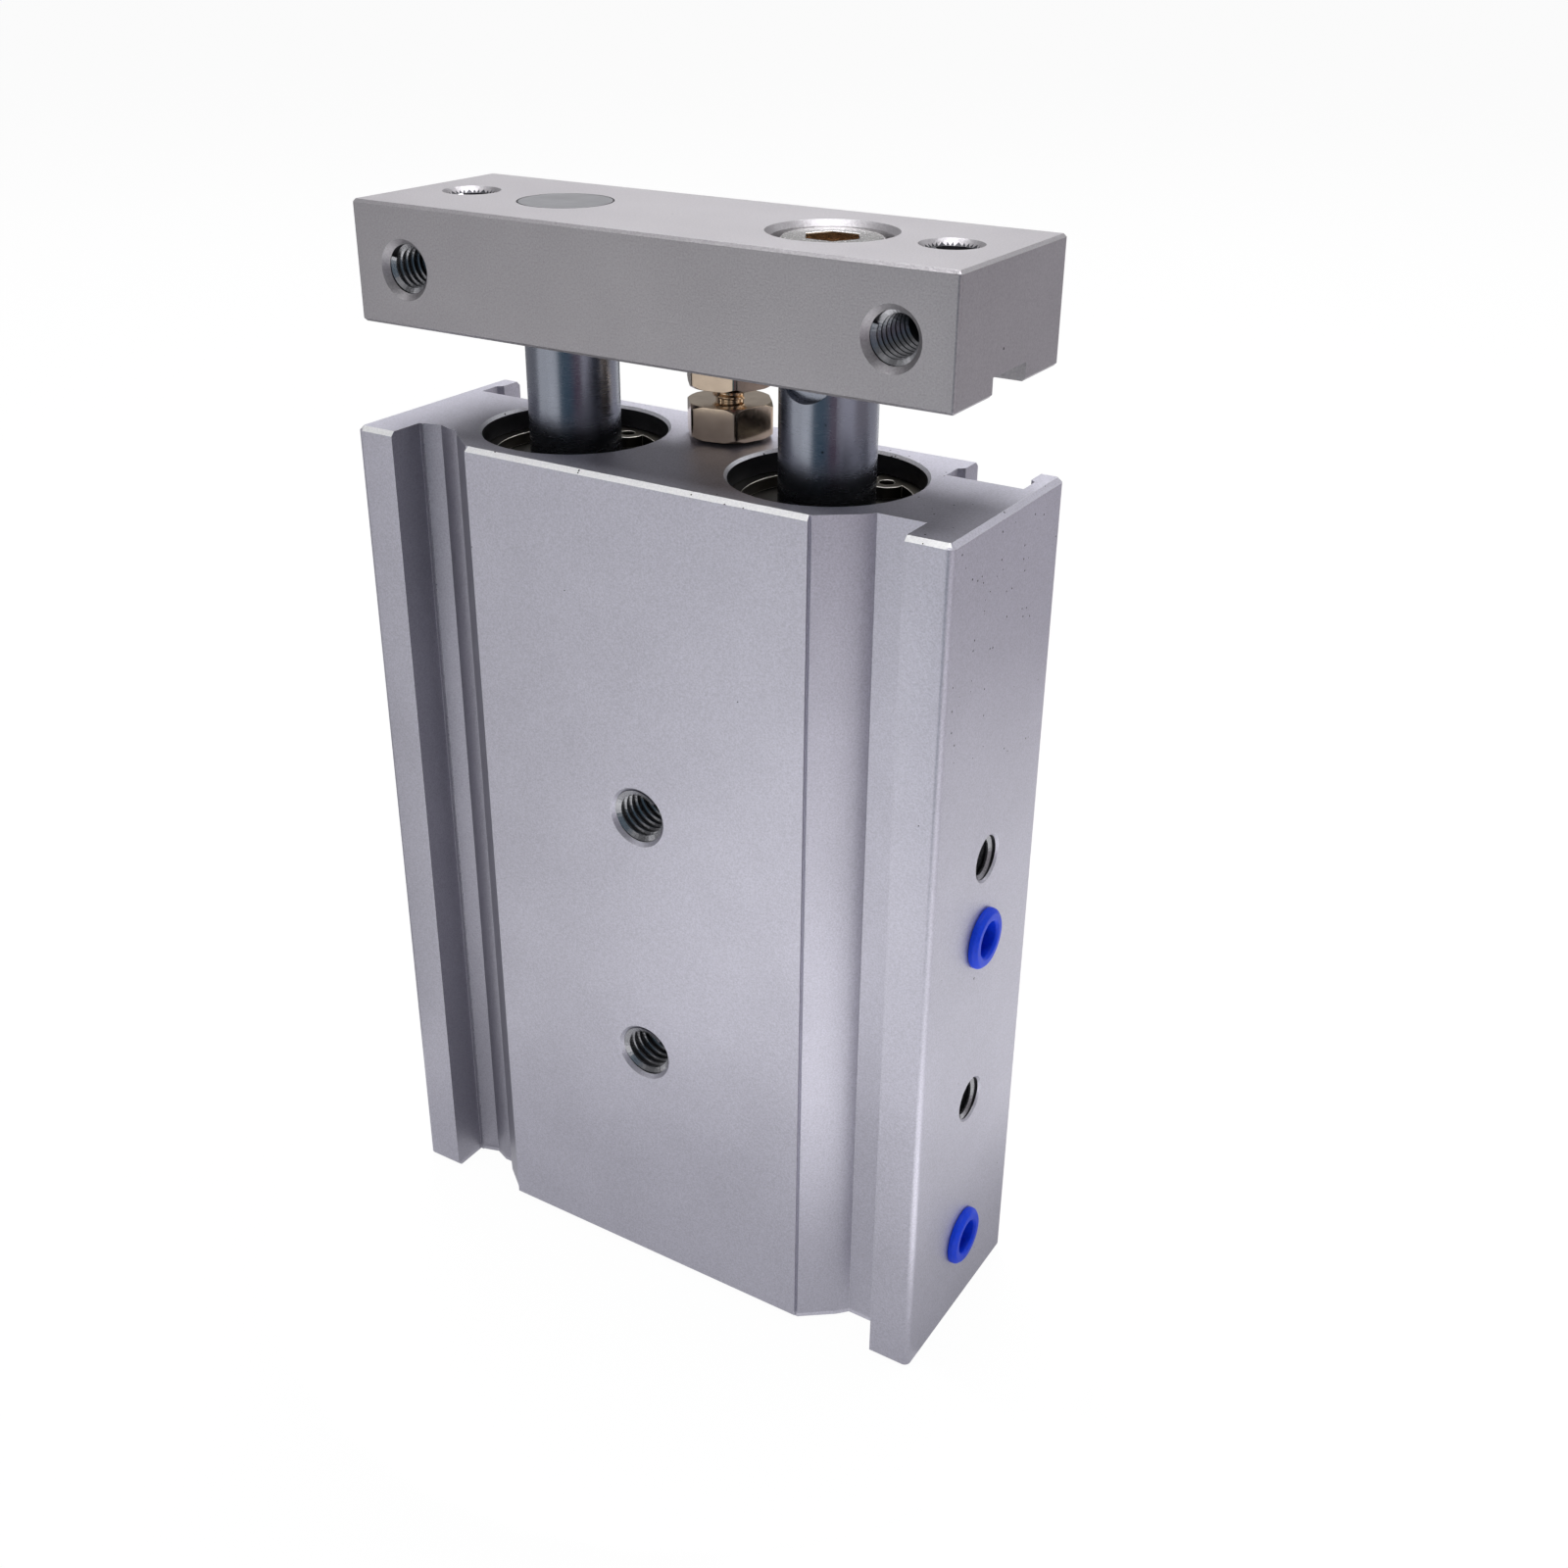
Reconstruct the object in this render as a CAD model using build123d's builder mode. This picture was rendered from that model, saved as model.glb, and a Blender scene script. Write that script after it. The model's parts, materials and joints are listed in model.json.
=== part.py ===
from build123d import *
import math
import os

# Guided pneumatic cylinder with two parallel rods, in millimetres, stored with its rods in.
# The origin is the middle of the housing's bottom face. +Z runs along the rods, +X points to
# the side with the ports, and -Y is the front.

os.makedirs("parts", exist_ok=True)

# Main sizes
stroke = 20.0
bore_diameter = 15.0
rod_diameter = 8.0
rod_pitch = 25.4

# Clearances, all radial or along the axis of the fit
running_clearance = 0.04
seat_clearance = 0.02
end_clearance = 0.1

# Housing section
gland_diameter = 16.2
bore_wall = 1.9
groove_floor_width = 4.2
groove_depth = 3.6
flank_run = 4.0
flank_step = 0.4
flank_undercut = 0.1
flank_land = 0.15
flank_foot_run = 0.9
flank_foot_drop = 0.95
rail_thickness = 4.0
index_groove_width = 4.3
index_groove_far = 1.6
index_groove_drop = 0.6
index_groove_step = 0.1
slot_outer_wall = 1.4
slot_depth = 4.9
slot_lip = 0.5
slot_lip_depth = 2.3
corner_radius = 0.6
end_chamfer = 0.4
mouth_chamfer = 0.25

# Snap rings in both ends of each bore
ring_setback = 1.85
ring_thickness = 1.0
ring_groove_depth = 0.5
ring_width = 1.5
ring_gap = 1.4
ring_lug_radius = 1.5
ring_eye_radius = 0.65
ring_eye_spread = 2.2
ring_gap_angle = {"left": 102.0, "right": 90.0}

# Covers, seals and pistons
head_cover_length = 4.35
rod_cover_length = 33.55
cover_edge = 0.3
cover_groove_depth = 1.1
cover_groove_width = 1.6
o_ring_side_count = 8
rod_cover_groove_height = 8.0
seal_diameter = 12.0
seal_height = 2.8
seal_lip = 0.5
seal_lip_height = 1.2
support_thickness = 1.0
support_clearance = 0.3
piston_length = 11.0
piston_end_gap = 2.7
piston_edge = 0.4
piston_seal_width = 1.8
piston_seal_depth = 1.6
piston_seal_crown = 0.6
piston_seal_height = 8.3
magnet_width = 3.0
magnet_depth = 2.2
magnet_height = 3.0
spigot_diameter = 5.0
rivet_diameter = 7.0
rivet_height = 0.8
rivet_recess = 1.2
bumper_diameter = 12.0
rod_bumper_thickness = 2.4
head_bumper_thickness = 1.4
head_bumper_recess = 0.4

# Mounting holes, tapped holes being drawn at the thread's outer radius
mount_thread_radius = 2.5
mount_thread_length = 12.0
mount_clear_radius = 2.15
mount_rim = 2.85
mount_counterbore_radius = 4.0
mount_counterbore_depth = 4.4
mount_spacing = 25.0
port_to_mount = 7.8
side_thread_radius = 2.0
side_thread_depth = 6.0
side_rim = 2.2
countersink_angle = 90.0

# Ports and their plugs
port_thread_radius = 2.5
port_thread_depth = 5.5
passage_radius = 1.0
passage_margin = 0.8
plug_flange_radius = 2.75
plug_flange_thickness = 0.8
plug_flange_edge = 0.35
plug_stem_length = 4.0
plug_recess_radius = 1.6
plug_recess_depth = 3.4
plug_rim = 0.2

# End plate
plate_end_margin = 15.3
plate_depth = 18.0
plate_thickness = 10.0
plate_corner_radius = 0.3
plate_chamfer = 0.25
channel_width = 5.8
channel_depth = 1.5
plate_screw_offset = 10.05
plate_screw_height = 4.75
plate_screw_depth = 6.0
plate_thread_radius = 2.0
plate_front_rim = 2.5
plate_top_rim = 2.5

# Fasteners of the rods
rod_socket_depth = 2.0
cap_head_radius = 4.25
cap_head_height = 5.0
cap_head_sink = 0.4
cap_head_edge = 0.4
cap_shank_radius = 2.5
cap_shank_length = 12.0
cap_socket_flats = 4.0
cap_socket_depth = 2.5
counterbore_clearance = 0.5
counterbore_chamfer = 0.45
cap_hole_clearance = 0.25
thread_clearance = 0.03
thread_runout = 1.0
pin_pocket_radius = 2.5
pin_pocket_depth = 0.9
pin_pocket_drop = 2.4
set_screw_radius = 2.5
set_screw_sink = 0.4
set_screw_flats = 2.5
set_screw_socket_depth = 2.0
screw_edge = 0.3

# Bumper bolt between the rods, which stops the inward stroke
bolt_y = 5.2
bolt_radius = 1.5
bolt_flats = 7.0
bolt_head_height = 2.9
bolt_standoff = 0.3
bolt_exposed_thread = 1.4
bolt_reach = 7.0
bolt_turn = 9.0
hexagon_corner = 0.5
hexagon_chamfer = 0.42
hexagon_chamfer_angle = 40.0
nut_height = 4.4
pad_radius = 2.8
pad_recess = 0.6
pad_gap = 0.05

# Sizes that follow from the ones above
rod_radius = rod_diameter / 2
bore_radius = bore_diameter / 2
gland_radius = gland_diameter / 2
half_width = rod_pitch / 2 + gland_radius + groove_floor_width + rail_thickness
half_depth = gland_radius + bore_wall
rail_inner = half_width - rail_thickness
flank_foot = rail_inner - groove_floor_width
front_half = flank_foot - flank_run
slot_inner = rod_pitch / 2 + gland_radius
slot_outer = half_width - slot_outer_wall
ring_groove_radius = gland_radius + ring_groove_depth
ring_groove_width = ring_thickness + end_clearance
head_cover_bottom = ring_setback + ring_groove_width
head_cover_top = head_cover_bottom + head_cover_length
lower_port_z = head_cover_top + passage_radius + passage_margin / 2
piston_bottom = head_cover_top + piston_end_gap
piston_top = piston_bottom + piston_length
rod_cover_bottom = piston_top + rod_bumper_thickness + stroke + end_clearance
upper_port_z = rod_cover_bottom - passage_radius - passage_margin
rod_cover_top = rod_cover_bottom + rod_cover_length
body_height = rod_cover_top + ring_groove_width + ring_setback
upper_mount_z = upper_port_z + port_to_mount
lower_mount_z = upper_mount_z - mount_spacing
head_bottom = body_height + bolt_standoff
head_top = head_bottom + bolt_head_height
nut_bottom = head_top + bolt_exposed_thread
plate_bottom = nut_bottom + nut_height
plate_top = plate_bottom + plate_thickness
plate_length = rod_pitch + 2 * plate_end_margin
plate_screw_x = rod_pitch / 2 + plate_screw_offset
plate_screw_z = plate_bottom + plate_screw_height
stop_travel = bolt_exposed_thread - end_clearance
cover_radius = gland_radius - seat_clearance
guide_radius = rod_radius + running_clearance
seal_radius = seal_diameter / 2
piston_radius = bore_radius - running_clearance
cap_seat_z = plate_top - cap_head_sink - cap_head_height
right_rod_top = plate_bottom + rod_socket_depth
rod_x = {"left": -rod_pitch / 2, "right": rod_pitch / 2}


def turn(x, half_section, mode=Mode.ADD):
    """Revolve a closed half section of (radius, height) points about the rod axis at x."""
    with BuildSketch(Plane.XZ) as profile:
        with BuildLine():
            Polyline(*[(x + radius, height) for radius, height in half_section], close=True)
        make_face()
    revolve(profile.sketch, axis=Axis((x, 0, 0), (0, 0, 1)), mode=mode)


def finish(builder, name):
    """Label a finished piece and write it to its own file."""
    builder.part.label = name
    export_step(builder.part, f"parts/{name}.step")


def front_groove(side):
    """Corner points of one front groove, from the middle of the housing outwards."""
    front = -half_depth
    return [
        (side * front_half, front),
        (side * (front_half - flank_undercut), front + flank_step),
        (side * (front_half + flank_land), front + flank_step),
        (side * (flank_foot - flank_foot_run), front + groove_depth - flank_foot_drop),
        (side * flank_foot, front + groove_depth),
        (side * rail_inner, front + groove_depth),
        (side * rail_inner, front),
    ]


def rear_slot(side):
    """Corner points of one rear switch slot, from the outside of the housing inwards."""
    rear = half_depth
    lip_root = rear - slot_lip_depth - slot_lip
    return [
        (side * (slot_outer - slot_lip), rear),
        (side * (slot_outer - slot_lip), rear - slot_lip_depth),
        (side * slot_outer, lip_root),
        (side * slot_outer, rear - slot_depth),
        (side * slot_inner, rear - slot_depth),
        (side * slot_inner, lip_root),
        (side * (slot_inner + slot_lip), rear - slot_lip_depth),
        (side * (slot_inner + slot_lip), rear),
    ]


# Housing: an extruded block, cut to length, bored and drilled
section_outline = [
    *front_groove(1),
    (half_width, -half_depth),
    (half_width, half_depth),
    *rear_slot(1),
    *reversed(rear_slot(-1)),
    (-half_width, half_depth),
    (-half_width, -half_depth),
    *reversed(front_groove(-1)),
]
index_start = -(flank_foot - flank_foot_run / 2)
index_floor = groove_depth - half_depth

with BuildPart() as housing:
    with BuildSketch() as section:
        with BuildLine():
            Polyline(*section_outline, close=True)
        make_face()
        outer_corners = section.vertices().group_by(Axis.X)[0] + section.vertices().group_by(Axis.X)[-1]
        fillet(outer_corners, radius=corner_radius)
        # The shallow index groove in the left front groove shows which way round the block is.
        with BuildLine():
            Polyline(
                (index_start, index_floor - flank_foot_drop / 2),
                (index_start - index_groove_width, index_floor),
                (index_start - index_groove_width, index_floor + index_groove_step),
                (index_start - index_groove_width + index_groove_far, index_floor + index_groove_drop),
                close=True,
            )
        make_face(mode=Mode.SUBTRACT)
    extrude(amount=body_height)

    end_edges = housing.edges().group_by(Axis.Z)[0] + housing.edges().group_by(Axis.Z)[-1]
    outermost = half_depth - flank_step / 4
    front_and_rear = end_edges.filter_by(lambda edge: abs(edge.center().Y) > outermost)
    both_sides = end_edges.filter_by(lambda edge: abs(edge.center().X) > half_width - corner_radius)
    chamfer(front_and_rear + both_sides, length=end_chamfer)

    mouth_radius = gland_radius + mouth_chamfer
    for x in rod_x.values():
        turn(
            x,
            [
                (0, 0),
                (mouth_radius, 0),
                (gland_radius, mouth_chamfer),
                (gland_radius, ring_setback),
                (ring_groove_radius, ring_setback),
                (ring_groove_radius, head_cover_bottom),
                (gland_radius, head_cover_bottom),
                (gland_radius, head_cover_top),
                (bore_radius, head_cover_top),
                (bore_radius, rod_cover_bottom),
                (gland_radius, rod_cover_bottom),
                (gland_radius, rod_cover_top),
                (ring_groove_radius, rod_cover_top),
                (ring_groove_radius, rod_cover_top + ring_groove_width),
                (gland_radius, rod_cover_top + ring_groove_width),
                (gland_radius, body_height - mouth_chamfer),
                (mouth_radius, body_height),
                (0, body_height),
            ],
            mode=Mode.SUBTRACT,
        )

    for z in (lower_mount_z, upper_mount_z):
        with Locations(Plane(origin=(0, -half_depth, z), z_dir=(0, -1, 0))):
            CounterSinkHole(mount_thread_radius, mount_rim, mount_thread_length, countersink_angle)
            Hole(mount_clear_radius)
        with Locations(Plane(origin=(0, half_depth, z), z_dir=(0, 1, 0))):
            Hole(mount_counterbore_radius, mount_counterbore_depth)
        for side in (-1, 1):
            with Locations(Plane(origin=(side * half_width, 0, z), z_dir=(side, 0, 0))):
                CounterSinkHole(side_thread_radius, side_rim, side_thread_depth, countersink_angle)

    for z in (lower_port_z, upper_port_z):
        with Locations(Plane(origin=(half_width, 0, z), z_dir=(1, 0, 0))):
            Hole(port_thread_radius, port_thread_depth)
            Hole(passage_radius, half_width + rod_pitch / 2)
finish(housing, "housing")


# Snap rings: internal retaining rings with two lugs, their gap towards the rear
ring_outer_radius = ring_groove_radius - seat_clearance
ring_bore_radius = ring_outer_radius - ring_width
eye_circle_radius = gland_radius - ring_lug_radius - seat_clearance
eye_angle = math.degrees(ring_eye_spread / eye_circle_radius)
ring_levels = {
    "rod": rod_cover_top + end_clearance / 2,
    "head": ring_setback + end_clearance / 2,
}
for end, ring_z in ring_levels.items():
    for side, x in rod_x.items():
        gap_angle = ring_gap_angle[side]
        first_eye = gap_angle - eye_angle
        eye_span = 4 * eye_angle
        with BuildPart() as snap_ring:
            with BuildSketch(Plane.XY.offset(ring_z)):
                with Locations((x, 0)):
                    Circle(ring_outer_radius)
                    Circle(ring_bore_radius, mode=Mode.SUBTRACT)
                    with PolarLocations(eye_circle_radius, 2, first_eye, angular_range=eye_span):
                        Circle(ring_lug_radius)
                        Circle(ring_eye_radius, mode=Mode.SUBTRACT)
                    with PolarLocations(eye_circle_radius, 1, start_angle=gap_angle):
                        Rectangle(2 * ring_width + 2 * ring_lug_radius, ring_gap, mode=Mode.SUBTRACT)
            extrude(amount=ring_thickness)
        finish(snap_ring, f"{end}_snap_ring_{side}")


# Covers, seals and pistons of both bores
for side, x in rod_x.items():
    # Rod cover: the long bearing bush that guides the rod
    groove_z = rod_cover_bottom + rod_cover_groove_height
    pocket_top = rod_cover_bottom + support_thickness + seal_height + end_clearance
    with BuildPart() as rod_cover:
        turn(
            x,
            [
                (seal_radius, rod_cover_bottom),
                (cover_radius, rod_cover_bottom),
                (cover_radius, groove_z),
                (cover_radius - cover_groove_depth, groove_z),
                (cover_radius - cover_groove_depth, groove_z + cover_groove_width),
                (cover_radius, groove_z + cover_groove_width),
                (cover_radius, rod_cover_top - cover_edge),
                (cover_radius - cover_edge, rod_cover_top),
                (guide_radius + cover_edge, rod_cover_top),
                (guide_radius, rod_cover_top - cover_edge),
                (guide_radius, pocket_top),
                (seal_radius, pocket_top),
            ],
        )
    finish(rod_cover, f"rod_cover_{side}")

    # Support washer pressed in under the rod seal
    with BuildPart() as seal_support:
        turn(
            x,
            [
                (rod_radius + support_clearance, rod_cover_bottom),
                (seal_radius - seat_clearance, rod_cover_bottom),
                (seal_radius - seat_clearance, rod_cover_bottom + support_thickness),
                (rod_radius + support_clearance, rod_cover_bottom + support_thickness),
            ],
        )
    finish(seal_support, f"seal_support_{side}")

    # Rod seal: a lip ring, open towards the pressure side below it
    seal_z = rod_cover_bottom + support_thickness + seat_clearance
    seal_outer = seal_radius - seat_clearance
    with BuildPart() as rod_seal:
        turn(
            x,
            [
                (guide_radius, seal_z),
                (guide_radius + seal_lip, seal_z),
                ((guide_radius + seal_outer) / 2, seal_z + seal_lip_height),
                (seal_outer - seal_lip, seal_z),
                (seal_outer, seal_z),
                (seal_outer, seal_z + seal_height),
                (guide_radius, seal_z + seal_height),
            ],
        )
    finish(rod_seal, f"rod_seal_{side}")

    # Head cover: the plug that closes the bore's lower end
    head_groove_z = (head_cover_bottom + head_cover_top - cover_groove_width) / 2
    with BuildPart() as head_cover:
        turn(
            x,
            [
                (0, head_cover_bottom),
                (cover_radius - cover_edge, head_cover_bottom),
                (cover_radius, head_cover_bottom + cover_edge),
                (cover_radius, head_groove_z),
                (cover_radius - cover_groove_depth, head_groove_z),
                (cover_radius - cover_groove_depth, head_groove_z + cover_groove_width),
                (cover_radius, head_groove_z + cover_groove_width),
                (cover_radius, head_cover_top),
                (0, head_cover_top),
            ],
        )
    finish(head_cover, f"head_cover_{side}")

    # Rubber O-rings in the grooves of both covers, their round section drawn with a few flat sides
    o_ring_radius = (cover_groove_depth - seat_clearance) / 2
    for cover, level in {"rod": groove_z, "head": head_groove_z}.items():
        with BuildPart() as o_ring:
            with BuildSketch(Plane.XZ):
                with Locations((x + cover_radius - o_ring_radius, level + cover_groove_width / 2)):
                    RegularPolygon(o_ring_radius, o_ring_side_count)
            revolve(axis=Axis((x, 0, 0), (0, 0, 1)))
        finish(o_ring, f"{cover}_cover_o_ring_{side}")

    # Piston, riveted to the rod's lower end
    piston_seal_z = piston_bottom + piston_seal_height
    magnet_z = piston_bottom + magnet_height
    spigot_radius = spigot_diameter / 2
    with BuildPart() as piston:
        turn(
            x,
            [
                (bumper_diameter / 2 + seat_clearance, piston_bottom),
                (piston_radius - piston_edge, piston_bottom),
                (piston_radius, piston_bottom + piston_edge),
                (piston_radius, magnet_z),
                (piston_radius - magnet_depth, magnet_z),
                (piston_radius - magnet_depth, magnet_z + magnet_width),
                (piston_radius, magnet_z + magnet_width),
                (piston_radius, piston_seal_z),
                (piston_radius - piston_seal_depth, piston_seal_z),
                (piston_radius - piston_seal_depth, piston_seal_z + piston_seal_width),
                (piston_radius, piston_seal_z + piston_seal_width),
                (piston_radius, piston_top - piston_edge),
                (piston_radius - piston_edge, piston_top),
                (spigot_radius + seat_clearance, piston_top),
                (spigot_radius + seat_clearance, piston_bottom + rivet_recess),
                (rivet_diameter / 2 + seat_clearance, piston_bottom + rivet_recess),
                (rivet_diameter / 2 + seat_clearance, piston_bottom + head_bumper_recess),
                (bumper_diameter / 2 + seat_clearance, piston_bottom + head_bumper_recess),
            ],
        )
    finish(piston, f"piston_{side}")

    seal_seat_radius = piston_radius - piston_seal_depth + seat_clearance
    with BuildPart() as piston_seal:
        turn(
            x,
            [
                (seal_seat_radius, piston_seal_z + seat_clearance),
                (piston_radius - seal_lip, piston_seal_z + seat_clearance),
                (bore_radius - seat_clearance, piston_seal_z + (piston_seal_width - piston_seal_crown) / 2),
                (bore_radius - seat_clearance, piston_seal_z + (piston_seal_width + piston_seal_crown) / 2),
                (piston_radius - seal_lip, piston_seal_z + piston_seal_width - seat_clearance),
                (seal_seat_radius, piston_seal_z + piston_seal_width - seat_clearance),
            ],
        )
    finish(piston_seal, f"piston_seal_{side}")

    # Magnet ring that the switches in the rear slots sense
    magnet_outer = piston_radius - piston_edge / 2
    with BuildPart() as magnet:
        turn(
            x,
            [
                (piston_radius - magnet_depth + seat_clearance, magnet_z + seat_clearance),
                (magnet_outer, magnet_z + seat_clearance),
                (magnet_outer, magnet_z + magnet_width - seat_clearance),
                (piston_radius - magnet_depth + seat_clearance, magnet_z + magnet_width - seat_clearance),
            ],
        )
    finish(magnet, f"magnet_ring_{side}")

    # Elastic bumpers at both ends of the piston
    with BuildPart() as rod_bumper:
        turn(
            x,
            [
                (rod_radius + seat_clearance, piston_top),
                (bumper_diameter / 2, piston_top),
                (bumper_diameter / 2, piston_top + rod_bumper_thickness - piston_edge),
                (bumper_diameter / 2 - piston_edge, piston_top + rod_bumper_thickness),
                (rod_radius + seat_clearance, piston_top + rod_bumper_thickness),
            ],
        )
    finish(rod_bumper, f"rod_bumper_{side}")

    bumper_top = piston_bottom + head_bumper_recess - seat_clearance
    with BuildPart() as head_bumper:
        turn(
            x,
            [
                (rivet_diameter / 2, bumper_top),
                (rivet_diameter / 2, bumper_top - head_bumper_thickness),
                (bumper_diameter / 2 - piston_edge, bumper_top - head_bumper_thickness),
                (bumper_diameter / 2, bumper_top - head_bumper_thickness + piston_edge),
                (bumper_diameter / 2, bumper_top),
            ],
        )
    finish(head_bumper, f"head_bumper_{side}")

    # Piston rod: the left one passes through the plate, the right one is drawn up by a cap screw
    rod_top = plate_top if side == "left" else right_rod_top
    with BuildPart() as piston_rod:
        turn(
            x,
            [
                (0, piston_bottom + rivet_recess - rivet_height),
                (rivet_diameter / 2, piston_bottom + rivet_recess - rivet_height),
                (rivet_diameter / 2, piston_bottom + rivet_recess - seat_clearance),
                (spigot_radius, piston_bottom + rivet_recess - seat_clearance),
                (spigot_radius, piston_top),
                (rod_radius, piston_top),
                (rod_radius, rod_top),
                (0, rod_top),
            ],
        )
        if side == "right":
            screw_hole_depth = rod_top - cap_seat_z + cap_shank_length + thread_runout
            with Locations(Plane(origin=(x, 0, rod_top), z_dir=(0, 0, 1))):
                Hole(cap_shank_radius + thread_clearance, screw_hole_depth)
            # Shallow round pocket, front and rear, that holds the rod while the screw is tightened
            pocket_z = plate_bottom - pin_pocket_drop + pin_pocket_radius
            for facing in (-1, 1):
                with Locations(Plane(origin=(x, facing * rod_radius, pocket_z), z_dir=(0, facing, 0))):
                    Hole(pin_pocket_radius, pin_pocket_depth)
    finish(piston_rod, f"piston_rod_{side}")


# Port plugs: hollow plastic shipping plugs pushed into the tapped ports
for name, z in {"lower": lower_port_z, "upper": upper_port_z}.items():
    outer_face = half_width + plug_flange_thickness
    stem_radius = port_thread_radius - seat_clearance
    with BuildPart() as plug:
        with BuildSketch(Plane.XZ):
            with BuildLine():
                Polyline(
                    (half_width - plug_stem_length, z),
                    (half_width - plug_stem_length, z + stem_radius - plug_rim),
                    (half_width - plug_stem_length + plug_rim, z + stem_radius),
                    (half_width, z + stem_radius),
                    (half_width, z + plug_flange_radius),
                    (outer_face - plug_flange_edge, z + plug_flange_radius),
                    (outer_face, z + plug_flange_radius - plug_flange_edge),
                    (outer_face, z + plug_recess_radius + plug_rim),
                    (outer_face - plug_rim, z + plug_recess_radius),
                    (outer_face - plug_recess_depth, z + plug_recess_radius),
                    (outer_face - plug_recess_depth, z),
                    close=True,
                )
            make_face()
        revolve(axis=Axis((0, 0, z), (1, 0, 0)))
    finish(plug, f"port_plug_{name}")


# End plate, with its underside channel and the seats of both rods
set_screw_z = plate_bottom + plate_thickness / 2
counterbore_radius = cap_head_radius + counterbore_clearance
bolt_hole_radius = bolt_radius + running_clearance
bolt_top = nut_bottom + nut_height + bolt_reach
with BuildPart() as end_plate:
    with BuildSketch(Plane.XY.offset(plate_bottom)) as plate_outline:
        Rectangle(plate_length, plate_depth)
        fillet(plate_outline.vertices(), radius=plate_corner_radius)
    extrude(amount=plate_thickness)
    rims = end_plate.edges().group_by(Axis.Z)[0] + end_plate.edges().group_by(Axis.Z)[-1]
    chamfer(rims, length=plate_chamfer)
    with BuildSketch(Plane.XY.offset(plate_bottom)):
        Rectangle(plate_length, channel_width)
    extrude(amount=channel_depth, mode=Mode.SUBTRACT)

    with Locations((rod_x["left"], 0, plate_top)):
        Hole(rod_radius + running_clearance)
    with Locations((rod_x["right"], 0, plate_top)):
        Hole(cap_shank_radius + cap_hole_clearance)
        counterbore_rim = counterbore_radius + counterbore_chamfer
        CounterSinkHole(counterbore_radius, counterbore_rim, plate_top - cap_seat_z, countersink_angle)
    with BuildSketch(Plane.XY.offset(plate_bottom)):
        with Locations((rod_x["right"], 0)):
            Circle(rod_radius + running_clearance)
    extrude(amount=rod_socket_depth, mode=Mode.SUBTRACT)

    with BuildSketch(Plane.XY.offset(plate_bottom)):
        with Locations((0, bolt_y)):
            Circle(bolt_hole_radius)
    extrude(amount=bolt_reach + stop_travel + end_clearance, mode=Mode.SUBTRACT)

    with Locations(Plane(origin=(rod_x["left"], plate_depth / 2, set_screw_z), z_dir=(0, 1, 0))):
        Hole(set_screw_radius + thread_clearance, plate_depth / 2 - rod_radius / 2)
    for x in (-plate_screw_x, plate_screw_x):
        with Locations((x, 0, plate_top)):
            CounterSinkHole(plate_thread_radius, plate_top_rim, plate_thickness, countersink_angle)
        for facing in (-1, 1):
            face_point = (x, facing * plate_depth / 2, plate_screw_z)
            with Locations(Plane(origin=face_point, z_dir=(0, facing, 0))):
                CounterSinkHole(plate_thread_radius, plate_front_rim, plate_screw_depth, countersink_angle)
finish(end_plate, "end_plate")


# Cap screw that draws the right rod up against the plate
with BuildPart() as cap_screw:
    turn(
        rod_x["right"],
        [
            (0, cap_seat_z - cap_shank_length),
            (cap_shank_radius - screw_edge, cap_seat_z - cap_shank_length),
            (cap_shank_radius, cap_seat_z - cap_shank_length + screw_edge),
            (cap_shank_radius, cap_seat_z),
            (cap_head_radius, cap_seat_z),
            (cap_head_radius, cap_seat_z + cap_head_height - cap_head_edge),
            (cap_head_radius - cap_head_edge, cap_seat_z + cap_head_height),
            (0, cap_seat_z + cap_head_height),
        ],
    )
    with BuildSketch(Plane.XY.offset(cap_seat_z + cap_head_height)):
        with Locations((rod_x["right"], 0)):
            RegularPolygon(cap_socket_flats / 2, 6, major_radius=False)
    extrude(amount=-cap_socket_depth, mode=Mode.SUBTRACT)
finish(cap_screw, "rod_cap_screw")


# Set screw that clamps the left rod from the plate's rear face
with BuildPart() as set_screw:
    screw_end = rod_radius + seat_clearance
    screw_head = plate_depth / 2 - set_screw_sink
    with BuildSketch(Plane.XZ.offset(-screw_head)):
        with Locations((rod_x["left"], set_screw_z)):
            Circle(set_screw_radius)
    extrude(amount=screw_head - screw_end)
    chamfer(set_screw.edges().filter_by(GeomType.CIRCLE), length=screw_edge)
    with BuildSketch(Plane.XZ.offset(-screw_head)):
        with Locations((rod_x["left"], set_screw_z)):
            RegularPolygon(set_screw_flats / 2, 6, major_radius=False)
    extrude(amount=set_screw_socket_depth, mode=Mode.SUBTRACT)
finish(set_screw, "rod_set_screw")


def hexagon(bottom, height):
    """A hexagon prism on the bumper bolt's axis, its corners turned off top and bottom."""
    corner = bolt_flats / math.sqrt(3)
    chamfer_rise = hexagon_chamfer * math.tan(math.radians(hexagon_chamfer_angle))
    with BuildSketch(Plane.XY.offset(bottom)) as flats:
        with Locations((0, bolt_y)):
            RegularPolygon(bolt_flats / 2, 6, major_radius=False, rotation=bolt_turn)
        fillet(flats.vertices(), radius=hexagon_corner)
    extrude(flats.sketch, amount=height)
    with BuildSketch(Plane.XZ.offset(-bolt_y)) as turned:
        with BuildLine():
            Polyline(
                (0, bottom),
                (corner - hexagon_chamfer, bottom),
                (corner, bottom + chamfer_rise),
                (corner, bottom + height - chamfer_rise),
                (corner - hexagon_chamfer, bottom + height),
                (0, bottom + height),
                close=True,
            )
        make_face()
    revolve(turned.sketch, axis=Axis((0, bolt_y, 0), (0, 0, 1)), mode=Mode.INTERSECT)


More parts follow.
